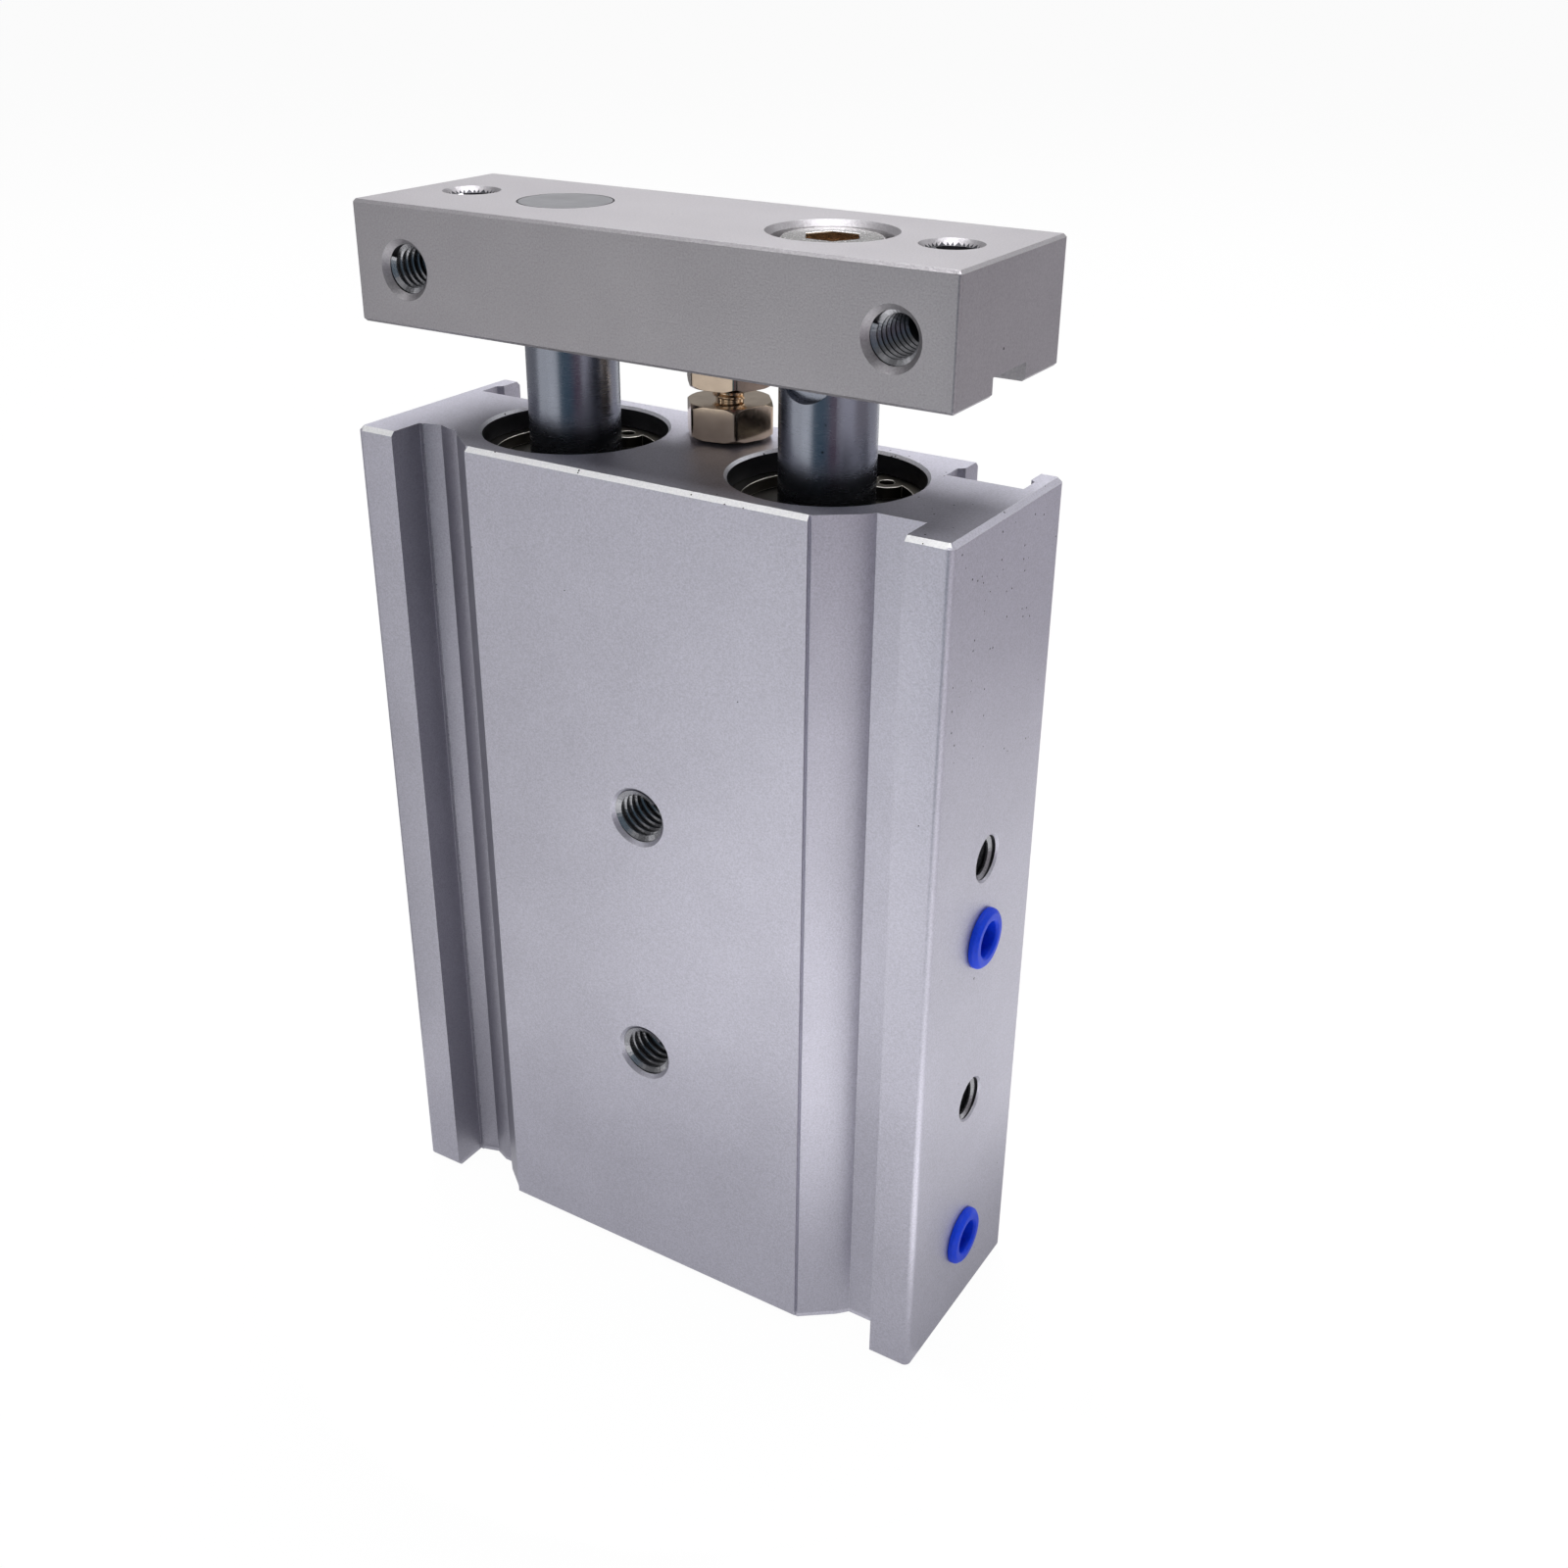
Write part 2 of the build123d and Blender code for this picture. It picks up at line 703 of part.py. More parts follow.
# Bumper bolt, its lock nut and the elastic pad in its head
with BuildPart() as bumper_bolt:
    hexagon(head_bottom, bolt_head_height)
    with BuildSketch(Plane.XY.offset(head_bottom)):
        with Locations((0, bolt_y)):
            Circle(pad_radius + seat_clearance)
    extrude(amount=pad_recess, mode=Mode.SUBTRACT)
    with BuildSketch(Plane.XY.offset(head_top)):
        with Locations((0, bolt_y)):
            Circle(bolt_radius)
    extrude(amount=bolt_top - head_top)
finish(bumper_bolt, "bumper_bolt")

with BuildPart() as lock_nut:
    hexagon(nut_bottom, nut_height)
    with Locations((0, bolt_y, plate_bottom)):
        Hole(bolt_hole_radius)
finish(lock_nut, "lock_nut")

with BuildPart() as bumper_pad:
    with BuildSketch(Plane.XY.offset(body_height + pad_gap)):
        with Locations((0, bolt_y)):
            Circle(pad_radius)
    extrude(amount=bolt_standoff - pad_gap + pad_recess - seat_clearance)
finish(bumper_pad, "bumper_pad")
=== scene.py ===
import json
import math
import bmesh
import bpy
from mathutils import Matrix, Vector


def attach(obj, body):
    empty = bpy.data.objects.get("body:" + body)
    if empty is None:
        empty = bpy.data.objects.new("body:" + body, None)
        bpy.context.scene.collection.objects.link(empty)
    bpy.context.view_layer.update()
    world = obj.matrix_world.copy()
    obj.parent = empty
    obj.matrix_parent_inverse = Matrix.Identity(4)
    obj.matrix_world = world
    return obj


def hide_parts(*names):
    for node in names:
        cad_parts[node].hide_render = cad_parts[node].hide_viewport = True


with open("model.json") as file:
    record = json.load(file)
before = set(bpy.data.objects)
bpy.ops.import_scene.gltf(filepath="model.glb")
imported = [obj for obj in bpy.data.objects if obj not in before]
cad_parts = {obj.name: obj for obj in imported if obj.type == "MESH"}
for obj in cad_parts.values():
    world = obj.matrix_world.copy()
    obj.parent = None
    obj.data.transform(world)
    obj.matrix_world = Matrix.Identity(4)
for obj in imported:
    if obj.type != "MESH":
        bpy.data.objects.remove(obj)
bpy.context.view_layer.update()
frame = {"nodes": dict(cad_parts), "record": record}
mm = 0.001


# Housing. An extruded aluminium block, cut to length, milled, bead blasted and clear anodised.
# Its two bores take the covers and pistons, and its tapped holes fix it to a machine.
body_of = {}
for body, members in frame["record"]["behaviour"]["bodies"].items():
    for member in members:
        body_of[member] = body


class Wire:
    """The output of a shader node. Sums written on wires add the Math nodes that work them out."""

    def __init__(self, tree, socket=None):
        self.tree = tree
        self.socket = socket

    def node(self, kind, settings=None, inputs=None, output=0):
        """Add any node: its settings first, then a value or a wire for each of its sockets."""
        made = self.tree.nodes.new(kind)
        for name, value in (settings or {}).items():
            setattr(made, name, value)
        for name, value in (inputs or {}).items():
            if isinstance(value, Wire):
                self.tree.links.new(value.socket, made.inputs[name])
            else:
                made.inputs[name].default_value = value
        return Wire(self.tree, made.outputs[output] if made.outputs else None)

    def sum(self, operation, *values):
        return self.node("ShaderNodeMath", {"operation": operation}, dict(enumerate(values)))

    def __add__(self, other):
        return self.sum("ADD", self, other)

    __radd__ = __add__

    def __sub__(self, other):
        return self.sum("SUBTRACT", self, other)

    def __rsub__(self, other):
        return self.sum("SUBTRACT", other, self)

    def __mul__(self, other):
        return self.sum("MULTIPLY", self, other)

    __rmul__ = __mul__

    def __lt__(self, other):
        return self.sum("LESS_THAN", self, other)

    def __gt__(self, other):
        return self.sum("GREATER_THAN", self, other)

    def colour(self, low, high):
        """A colour between two others, by this wire. The first may be a wire of colours too."""
        first, second, mixed = 6, 7, 2
        low = low if isinstance(low, Wire) else (*low, 1.0)
        ends = {"Factor": self, first: low, second: (*high, 1.0)}
        return self.node("ShaderNodeMix", {"data_type": "RGBA"}, ends, output=mixed)


def new_finish(name):
    """A material with an empty tree, and a wire of the piece's own coordinates in metres."""
    material = bpy.data.materials.new(name)
    material.use_nodes = True
    material.node_tree.nodes.clear()
    place = Wire(material.node_tree).node("ShaderNodeTexCoord", output="Object")
    return material, place


def noise(place, size, detail=2.0, stretch=(1.0, 1.0, 1.0)):
    """Soft noise whose blotches are about size wide, in metres."""
    spread = place.node("ShaderNodeMapping", inputs={"Vector": place, "Scale": stretch})
    values = {"Vector": spread, "Scale": 1 / size, "Detail": detail}
    return place.node("ShaderNodeTexNoise", inputs=values)


def specks(place, spacing, size, share):
    """A mask of small round specks: one in a cell of the spacing, in a share of the cells."""
    settings = {"feature": "F1"}
    cells = {"Vector": place, "Scale": 1 / spacing}
    near = place.node("ShaderNodeTexVoronoi", settings, cells, output="Distance")
    pick = place.node("ShaderNodeTexVoronoi", settings, cells, output="Color")
    chance = place.node("ShaderNodeSeparateColor", inputs={0: pick})
    return (near < size / spacing) * (chance < share)


def close_finish(place, shader, height=None, depth=0.0):
    """End a material in one shader, with its relief in metres as a bump."""
    if height is not None:
        shader["Normal"] = place.node("ShaderNodeBump", inputs={"Height": height, "Distance": depth})
    surface = place.node("ShaderNodeBsdfPrincipled", inputs=shader)
    place.node("ShaderNodeOutputMaterial", inputs={"Surface": surface})


housing_side, housing_top = 29 * mm, 80 * mm
knocked_height, knocked_width = 22 * mm, 21 * mm
just_inside = 0.2 * mm


def anodised(name, dull, bright, nicks=0.0):
    """Bead blasted and clear anodised aluminium: a fine even sparkle with a few small pits.

    More pits lie on the housing's right side near the top and on the right of its top face,
    where it was handled. nicks is the share of a worn edge that has small dark nicks."""
    material, place = new_finish(name)
    grain = noise(place, 0.15 * mm, detail=3.0)
    clouds = noise(place, 9 * mm)
    x = place.node("ShaderNodeSeparateXYZ", inputs={0: place}, output=0)
    z = place.node("ShaderNodeSeparateXYZ", inputs={0: place}, output=2)
    on_side = (x > housing_side - just_inside) * (z > housing_top - knocked_height)
    on_top = (x > housing_side - knocked_width) * (z > housing_top - just_inside)
    on_housing = z < housing_top + 1 * mm
    knocks = (on_side + on_top) * on_housing * (noise(place, 5 * mm) > 0.5)
    crowd = noise(place, 12 * mm) > 0.54
    pits = specks(place, spacing=7 * mm, size=0.11 * mm, share=0.2)
    pits = pits + specks(place, spacing=1.7 * mm, size=0.06 * mm, share=0.22 * crowd)
    pits = pits + specks(place, spacing=0.9 * mm, size=0.09 * mm, share=0.9 * knocks)
    if nicks:
        pits = pits + specks(place, spacing=0.55 * mm, size=0.09 * mm, share=0.35 * nicks)
    middle, contrast = 0.5, 2.6
    tone = (grain * 0.8 + clouds * 0.2 - middle) * contrast + middle
    metal = tone.colour(dull, bright)
    pit_colour, pit_depth = (0.03, 0.03, 0.035), 3.0
    shader = {
        "Base Color": pits.colour(metal, pit_colour),
        "Metallic": 0.85,
        "Roughness": 0.38 + 0.12 * grain,
    }
    close_finish(place, shader, grain - pits * pit_depth, 0.02 * mm)
    return material


def wear(node, material):
    """Give a CAD piece its material, and leave its shape alone."""
    slots = frame["nodes"][node].data.materials
    slots.clear()
    slots.append(material)


sharp_angle = math.radians(25)
weld_distance = 0.0005 * mm


def broken_edges(node, materials, edge_break, pick=None, edge_material=-1):
    """A copy of a CAD piece with smooth round faces and its sharp edges slightly broken.

    Where a piece has several materials, pick gives the number of the one for a face, and
    edge_material is the number of the one for the broken edges, or -1 for the face's own."""
    mesh = frame["nodes"][node].data.copy()
    mesh.materials.clear()
    for material in materials:
        mesh.materials.append(material)
    shape = bmesh.new()
    shape.from_mesh(mesh)
    bmesh.ops.remove_doubles(shape, verts=shape.verts, dist=weld_distance)
    flat = math.radians(0.2)
    bmesh.ops.dissolve_limit(shape, angle_limit=flat, verts=shape.verts, edges=shape.edges)
    for face in shape.faces:
        face.smooth = True
        face.material_index = pick(face) if pick else 0
    for edge in shape.edges:
        edge.smooth = edge.calc_face_angle(math.pi) < sharp_angle
    shape.to_mesh(mesh)
    shape.free()
    piece = bpy.data.objects.new(f"{node}_finished", mesh)
    bpy.context.collection.objects.link(piece)
    bevel = piece.modifiers.new("broken_edge", "BEVEL")
    bevel.width = edge_break
    bevel.segments = 2
    bevel.limit_method = "ANGLE"
    bevel.angle_limit = sharp_angle
    bevel.harden_normals = True
    bevel.material = edge_material
    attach(piece, body_of[node])
    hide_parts(node)
    return piece


def bored(name, dull, bright, roughness, ring_depth=0.01 * mm):
    """Aluminium cut by a turning tool: fine rings along the bore, and no bead blasting."""
    material, place = new_finish(name)
    feed = noise(place, 0.12 * mm, detail=1.0, stretch=(0.05, 0.05, 1.0))
    clouds = noise(place, 1.6 * mm)
    shader = {
        "Base Color": clouds.colour(dull, bright),
        "Metallic": 0.85,
        "Roughness": roughness + 0.12 * feed,
    }
    close_finish(place, shader, feed, ring_depth)
    return material


def mount_points(name):
    """Centres of the holes of a mount in the record, each with the way that it faces."""
    mount = next(entry for entry in frame["record"]["mounts"] if entry["name"] == name)
    centre = Vector(mount["pos_m"])
    facing = Vector(mount["axis"])
    dims = mount["dims"]
    if "spacing_x_mm" in dims:
        half = Vector((dims["spacing_x_mm"] * mm / 2, 0, 0))
    else:
        half = Vector((0, 0, dims["spacing_y_mm"] * mm / 2))
    return [(centre - half, facing), (centre + half, facing)]


def in_a_hole(mounts, reach):
    """A test for the faces that line the holes of some mounts, below their countersinks.

    Faces deeper than the near holes are left out, because a hole from the other side may
    lie on the same axis."""
    holes = [point for mount in mounts for point in mount_points(mount)]
    nearest, deepest = 0.3 * mm, 12.5 * mm

    def test(face):
        middle = face.calc_center_median()
        for centre, facing in holes:
            depth = (centre - middle).dot(facing)
            off_axis = (middle - centre + depth * facing).length
            if off_axis < reach and nearest < depth < deepest:
                return True
        return False

    return test


housing_mounts = ["housing_front_screws", "housing_right_screws", "housing_left_screws"]
in_a_mount = in_a_hole(housing_mounts, 2.6 * mm)
rod_axes = (-12.7 * mm, 12.7 * mm)
bore_reach = 8.7 * mm
mouth_z = 79.7 * mm
groove_left, groove_right = -25.1 * mm, -17.2 * mm
groove_front, groove_step = -9.98 * mm, -7.2 * mm
blasted, cut, painted_highlight_chamfer, worn, painted_shade_groove = range(5)


def housing_face(face):
    """The number of a face's finish: blasted; cut for bores and tapped holes, painted near black
    as shade; front chamfer painted near white as a highlight; worn for the bores' rims; and
    painted darker as shade in the left groove."""
    x, y, z = face.calc_center_median()
    by_a_bore = any(math.hypot(x - axis, y) < bore_reach for axis in rod_axes)
    at_the_top = z > mouth_z
    # The chamfers at the top that face up and forward are painted near white: a painted highlight.
    if at_the_top and face.normal.y < -0.5 and face.normal.z > 0.5 and not by_a_bore:
        return painted_highlight_chamfer
    if at_the_top and by_a_bore and face.normal.z < 0.9:
        return worn
    upright = abs(face.normal.z) < 0.5
    in_the_groove = groove_left < x < groove_right and groove_front < y < 0 and upright
    faces_front = face.normal.y <= -0.9
    # Painted shade: faces in the left groove get a darker copy of the anodised finish, standing in
    # for the shade that falls in the groove.
    if in_the_groove and not by_a_bore and not (faces_front and y <= groove_step):
        return painted_shade_groove
    # Bore walls below the mouths and the walls of the tapped holes get a near black finish: painted
    # shade in the holes.
    if by_a_bore and z < mouth_z or in_a_mount(face):
        return cut
    return blasted


body_metal = anodised("anodised_housing", (0.42, 0.412, 0.47), (0.58, 0.57, 0.65))
# Near black: painted shade for the walls of the bores and holes, far darker than honed aluminium.
bore_metal_painted_shade = bored("honed_bore_painted_shade", (0.035, 0.035, 0.04), (0.07, 0.07, 0.08), 0.35)
# Near white: a painted highlight on the front chamfer, with real small nicks.
chamfer_metal_painted_highlight = anodised("chamfer_painted_highlight", (0.84, 0.84, 0.86), (1.0, 1.0, 1.0), 0.5)
worn_edge = anodised("worn_housing_edge", (0.62, 0.62, 0.67), (0.86, 0.86, 0.90), 0.9)
# A darker copy of the anodised finish: painted shade for the left groove only.
left_groove_shade_metal = anodised("anodised_with_painted_groove_shade", (0.30, 0.295, 0.34), (0.42, 0.41, 0.47))
finishes = (body_metal, bore_metal_painted_shade, chamfer_metal_painted_highlight, worn_edge, left_groove_shade_metal)
broken_edges("housing", finishes, 0.06 * mm, housing_face, worn)


# Threads of the tapped holes. Each is a right hand ridge that stands on the hole's wall,
# because the solid's hole is drawn at the thread's outer size. M5 has 0.8 mm pitch, M4 0.7 mm.
def thread_tree():
    """Nodes that put one helical ridge on every point of a piece, along the point's facing."""
    tree = bpy.data.node_groups.new("thread_ridge", "GeometryNodeTree")
    tree.interface.new_socket("Holes", in_out="INPUT", socket_type="NodeSocketGeometry")
    sizes = ("Wall radius", "Pitch", "Length", "Base width", "Crest width", "Height", "Start", "Turn")
    for name in sizes:
        tree.interface.new_socket(name, in_out="INPUT", socket_type="NodeSocketFloat")
    tree.interface.new_socket("Material", in_out="INPUT", socket_type="NodeSocketMaterial")
    tree.interface.new_socket("Threads", in_out="OUTPUT", socket_type="NodeSocketGeometry")
    given = tree.nodes.new("NodeGroupInput").outputs

    def add(kind, settings, inputs, output=0):
        made = tree.nodes.new(kind)
        for name, value in settings.items():
            setattr(made, name, value)
        for name, value in inputs.items():
            if isinstance(value, bpy.types.NodeSocket):
                tree.links.new(value, made.inputs[name])
            else:
                made.inputs[name].default_value = value
        return made.outputs[output]

    def sum_of(operation, first, second):
        return add("ShaderNodeMath", {"operation": operation}, {0: first, 1: second})

    turns = sum_of("DIVIDE", given["Length"], given["Pitch"])
    helix = add(
        "GeometryNodeCurveSpiral",
        {},
        {
            "Resolution": 40,
            "Rotations": turns,
            "Start Radius": given["Wall radius"],
            "End Radius": given["Wall radius"],
            "Height": given["Length"],
        },
    )
    upright = add("GeometryNodeSetCurveNormal", {}, {"Curve": helix})
    upright.node.mode = "Z_UP"
    ridge = add(
        "GeometryNodeCurvePrimitiveQuadrilateral",
        {"mode": "TRAPEZOID"},
        {
            "Bottom Width": given["Base width"],
            "Top Width": given["Crest width"],
            "Height": given["Height"],
            "Offset": 0.0,
        },
    )
    lift = add("ShaderNodeCombineXYZ", {}, {"Y": sum_of("MULTIPLY", given["Height"], 0.5)})
    raised = add("GeometryNodeTransform", {}, {"Geometry": ridge, "Translation": lift})
    quarter = add("ShaderNodeCombineXYZ", {}, {"Z": given["Turn"]})
    aimed = add("GeometryNodeTransform", {}, {"Geometry": raised, "Rotation": quarter})
    sweep = {"Curve": upright, "Profile Curve": aimed, "Fill Caps": True}
    swept = add("GeometryNodeCurveToMesh", {}, sweep)
    sink = sum_of("MULTIPLY", sum_of("ADD", given["Start"], given["Length"]), -1.0)
    depth = add("ShaderNodeCombineXYZ", {}, {"Z": sink})
    placed = add("GeometryNodeTransform", {}, {"Geometry": swept, "Translation": depth})
    named = "GeometryNodeInputNamedAttribute"
    facing = add(named, {"data_type": "FLOAT_VECTOR"}, {"Name": "facing"})
    turned = add("FunctionNodeAlignRotationToVector", {"axis": "Z"}, {"Vector": facing})
    setting = {"Points": given["Holes"], "Instance": placed, "Rotation": turned}
    copies = add("GeometryNodeInstanceOnPoints", {}, setting)
    real = add("GeometryNodeRealizeInstances", {}, {"Geometry": copies})
    flat = add("GeometryNodeSetShadeSmooth", {}, {"Geometry": real, "Shade Smooth": False})
    metal = add("GeometryNodeSetMaterial", {}, {"Geometry": flat, "Material": given["Material"]})
    tree.links.new(metal, tree.nodes.new("NodeGroupOutput").inputs[0])
    return tree


ridge_tree = thread_tree()


def grow(name, points, tree, values, body):
    """Run a node tree on a set of points with a direction each, and keep the plain mesh it makes."""
    seeds = bpy.data.meshes.new(f"{name}_points")
    seeds.from_pydata([position for position, _ in points], [], [])
    facing = seeds.attributes.new("facing", "FLOAT_VECTOR", "POINT")
    for entry, (_, direction) in zip(facing.data, points):
        entry.vector = direction
    seed = bpy.data.objects.new(f"{name}_seed", seeds)
    bpy.context.collection.objects.link(seed)
    modifier = seed.modifiers.new("grow", "NODES")
    modifier.node_group = tree
    for socket in tree.interface.items_tree:
        if socket.in_out == "INPUT" and socket.name in values:
            modifier[socket.identifier] = values[socket.name]
    evaluated = seed.evaluated_get(bpy.context.evaluated_depsgraph_get())
    mesh = bpy.data.meshes.new_from_object(evaluated)
    bpy.data.objects.remove(seed)
    piece = bpy.data.objects.new(name, mesh)
    bpy.context.collection.objects.link(piece)
    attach(piece, body)
    return piece


into_the_hole = math.radians(-90)
out_of_the_shank = math.radians(90)
depth_per_pitch = 0.5413


def tapped(name, mounts, radius, pitch, length, material, body, start):
    """Threads in the holes of some mounts, with the flanks of a metric thread.

    length and start are measured along the middle of the ridge, down from the hole's mouth."""
    points = []
    for mount in mounts:
        points += mount_points(mount)
    wall_bite = 0.02 * mm
    values = {
        "Wall radius": radius + wall_bite,
        "Pitch": pitch,
        "Length": length,
        "Base width": pitch * 7 / 8,
        "Crest width": pitch / 4,
        "Height": pitch * depth_per_pitch + wall_bite,
        "Start": start,
        "Turn": into_the_hole,
        "Material": material,
    }
    return grow(name, points, ridge_tree, values, body)


# Darker than the blasted faces: painted shade inside the tapped holes.
thread_metal_painted_shade = bored("cut_thread_painted_shade", (0.26, 0.26, 0.28), (0.46, 0.46, 0.48), 0.16, 0.002 * mm)
m5_radius, m5_pitch = 2.5 * mm, 0.8 * mm
m4_radius, m4_pitch = 2 * mm, 0.7 * mm
front_holes = ["housing_front_screws"]
side_holes = ["housing_right_screws", "housing_left_screws"]
block = "cylinder_body"
tapped("front_threads", front_holes, m5_radius, m5_pitch, 11.1 * mm, thread_metal_painted_shade, block, 0.37 * mm)
tapped("side_threads", side_holes, m4_radius, m4_pitch, 5.2 * mm, thread_metal_painted_shade, block, 0.33 * mm)


# Snap rings. Punched spring steel, phosphated and oiled, sprung into the grooves of both bores
# to hold the covers in.
def spring_steel(name, dull, bright):
    """Thin dark phosphate on steel, cloudy with oil."""
    material, place = new_finish(name)
    grain = noise(place, 0.15 * mm)
    clouds = noise(place, 1.5 * mm)
    shader = {
        "Base Color": clouds.colour(dull, bright),
        "Metallic": 0.9,
        "Roughness": 0.26 + 0.15 * grain,
    }
    close_finish(place, shader, grain, 0.01 * mm)
    return material


ring_steel = spring_steel("phosphated_spring_steel", (0.04, 0.036, 0.03), (0.12, 0.11, 0.09))
# Near white warm edges: bare steel where the phosphate is worn, brightened past bare steel as a
# painted highlight.
worn_steel_painted_highlight = spring_steel("worn_spring_steel_painted_highlight", (0.80, 0.77, 0.70), (0.98, 0.95, 0.88))
for side in ("left", "right"):
    for end in ("rod", "head"):
        ring = f"{end}_snap_ring_{side}"
        broken_edges(ring, (ring_steel, worn_steel_painted_highlight), 0.11 * mm, edge_material=1)


# Covers. The rod covers are turned from bearing alloy, and the head covers, the pistons and
# the washers that support the seals from aluminium. All carry the fine rings of the lathe tool.
# Near black: painted shade for the rod covers, which sit deep in the bore mouths below the snap
# rings.
bearing_alloy_painted_shade = bored("turned_bearing_alloy_painted_shade", (0.05, 0.048, 0.045), (0.11, 0.105, 0.10), 0.3)
turned_aluminium = bored("turned_aluminium", (0.42, 0.42, 0.44), (0.55, 0.55, 0.57), 0.32)
for side in ("left", "right"):
    wear(f"rod_cover_{side}", bearing_alloy_painted_shade)
    wear(f"head_cover_{side}", turned_aluminium)
    wear(f"piston_{side}", turned_aluminium)
    wear(f"seal_support_{side}", turned_aluminium)


# Seals and bumpers. Moulded nitrile rubber for the seals and O-rings, cast urethane for the
# bumpers and the pad of the stop bolt, and a rubber bonded magnet round each piston.
def moulded_rubber(name, dark, light):
    """Dull rubber with the fine grain of its mould."""
    material, place = new_finish(name)
    grain = noise(place, 0.3 * mm)
    shader = {"Base Color": grain.colour(dark, light), "Roughness": 0.55 + 0.2 * grain}
    close_finish(place, shader, grain, 0.01 * mm)
    return material


nitrile = moulded_rubber("nitrile_rubber", (0.012, 0.012, 0.012), (0.03, 0.03, 0.03))
urethane = moulded_rubber("cast_urethane", (0.02, 0.016, 0.012), (0.04, 0.033, 0.025))
bonded_magnet = moulded_rubber("bonded_magnet", (0.015, 0.014, 0.013), (0.04, 0.036, 0.03))
for side in ("left", "right"):
    for seal in ("rod_seal", "rod_cover_o_ring", "head_cover_o_ring", "piston_seal"):
        wear(f"{seal}_{side}", nitrile)
    wear(f"rod_bumper_{side}", urethane)
    wear(f"head_bumper_{side}", urethane)
    wear(f"magnet_ring_{side}", bonded_magnet)
wear("bumper_pad", urethane)


# Piston rods. Ground round bar with hard chrome, which keeps the fine rings of the grinding
# wheel. The right one has two shallow round pockets just under the plate, front and rear, that
# hold it while its screw is tightened.
def ground_chrome():
    """Hard chrome with faint rings, a bluish cast that changes along the bar, and tiny pits."""
    material, place = new_finish("ground_chrome")
    rings = noise(place, 0.25 * mm, detail=3.0, stretch=(0.12, 0.12, 1.0))
    clouds = noise(place, 3 * mm, stretch=(1.0, 1.0, 0.25))
    pits = specks(place, 1.1 * mm, 0.1 * mm, 0.25)
    bare = clouds.colour((0.225, 0.24, 0.285), (0.315, 0.335, 0.385))
    shader = {
        "Base Color": pits.colour(bare, (0.04, 0.04, 0.05)),
        "Metallic": 1.0,
        "Roughness": 0.25 + 0.04 * rings,
    }
    close_finish(place, shader, rings - pits, 0.0002 * mm)
    return material


chrome = ground_chrome()
faced_steel = bored("faced_steel", (0.22, 0.22, 0.235), (0.29, 0.29, 0.305), 0.34)
# Near black for the rods' broken edges.
dark_rod_edge = bored("dark_rod_edge_finish", (0.02, 0.02, 0.025), (0.06, 0.06, 0.065), 0.4)
rod_finishes = (chrome, faced_steel, dark_rod_edge)
rod_end_z = 98 * mm


def rod_face(face):
    """1 for the faced end of a rod, which shows in the plate's top, and 0 for its chromed side."""
    return int(face.normal.z > 0.5 and face.calc_center_median().z > rod_end_z)


for side in ("left", "right"):
    rod = f"piston_rod_{side}"
    broken_edges(rod, rod_finishes, 0.1 * mm, rod_face, edge_material=2)


# Port plugs. Soft blue plastic caps that keep dirt out of the ports in transit, pushed into
# the port threads and hollow in the middle.
def soft_plastic():
    """Even blue plastic with a soft shine."""
    material, place = new_finish("blue_soft_plastic")
    grain = noise(place, 0.25 * mm)
    shader = {
        "Base Color": grain.colour((0.002, 0.040, 0.60), (0.004, 0.060, 0.85)),
        "Roughness": 0.38 + 0.15 * grain,
        "Specular IOR Level": 0.22,
    }
    close_finish(place, shader, grain, 0.006 * mm)
    return material


plug_plastic = soft_plastic()
for place_name in ("lower", "upper"):
    broken_edges(f"port_plug_{place_name}", (plug_plastic,), 0.12 * mm)


# End plate. Milled from aluminium bar, bead blasted and clear anodised, a shade greyer than
# the housing. Its tapped holes, two each in front, top and rear, carry the load.
plate_metal = anodised("anodised_plate", (0.33, 0.315, 0.335), (0.45, 0.435, 0.455))
worn_plate_edge = anodised("worn_plate_edge", (0.42, 0.41, 0.43), (0.56, 0.55, 0.57), 0.3)
facing_holes = ["plate_front_screws", "plate_rear_screws"]
top_holes = ["plate_top_screws"]
in_a_plate_hole = in_a_hole(facing_holes + top_holes, 2.1 * mm)
# The plate's holes take the same near black painted shade.
plate_finishes = (plate_metal, bore_metal_painted_shade, worn_plate_edge)
broken_edges("end_plate", plate_finishes, 0.08 * mm, in_a_plate_hole, edge_material=2)
cart = "carriage"
tapped("plate_threads", facing_holes, m4_radius, m4_pitch, 5.3 * mm, thread_metal_painted_shade, cart, 0.35 * mm)
tapped("plate_top_threads", top_holes, m4_radius, m4_pitch, 7.4 * mm, thread_metal_painted_shade, cart, 0.8 * mm)


# Fasteners. The cap screw draws the right rod up to the plate, and the set screw clamps the
# left rod from the rear. The bumper bolt and its lock nut set where the inward stroke ends.
# The bolt's exposed neck is drawn in at the root of its thread, and the ridge stands on it.
def plated(name, dull, bright, roughness):
    """Smooth bright plating with slightly cloudy colour."""
    material, place = new_finish(name)
    grain = noise(place, 0.3 * mm)
    clouds = noise(place, 1.8 * mm)
    shader = {
        "Base Color": clouds.colour(dull, bright),
        "Metallic": 1.0,
        "Roughness": roughness + 0.12 * grain,
    }
    close_finish(place, shader, grain + clouds, 0.0015 * mm)
    return material


# The warm brown in both nickels is partly the plating's own tone and partly a painted reflection of a
# warm room.
nickel_with_painted_reflection = plated("bright_nickel_painted_reflection", (0.60, 0.475, 0.36), (0.94, 0.77, 0.585), 0.08)
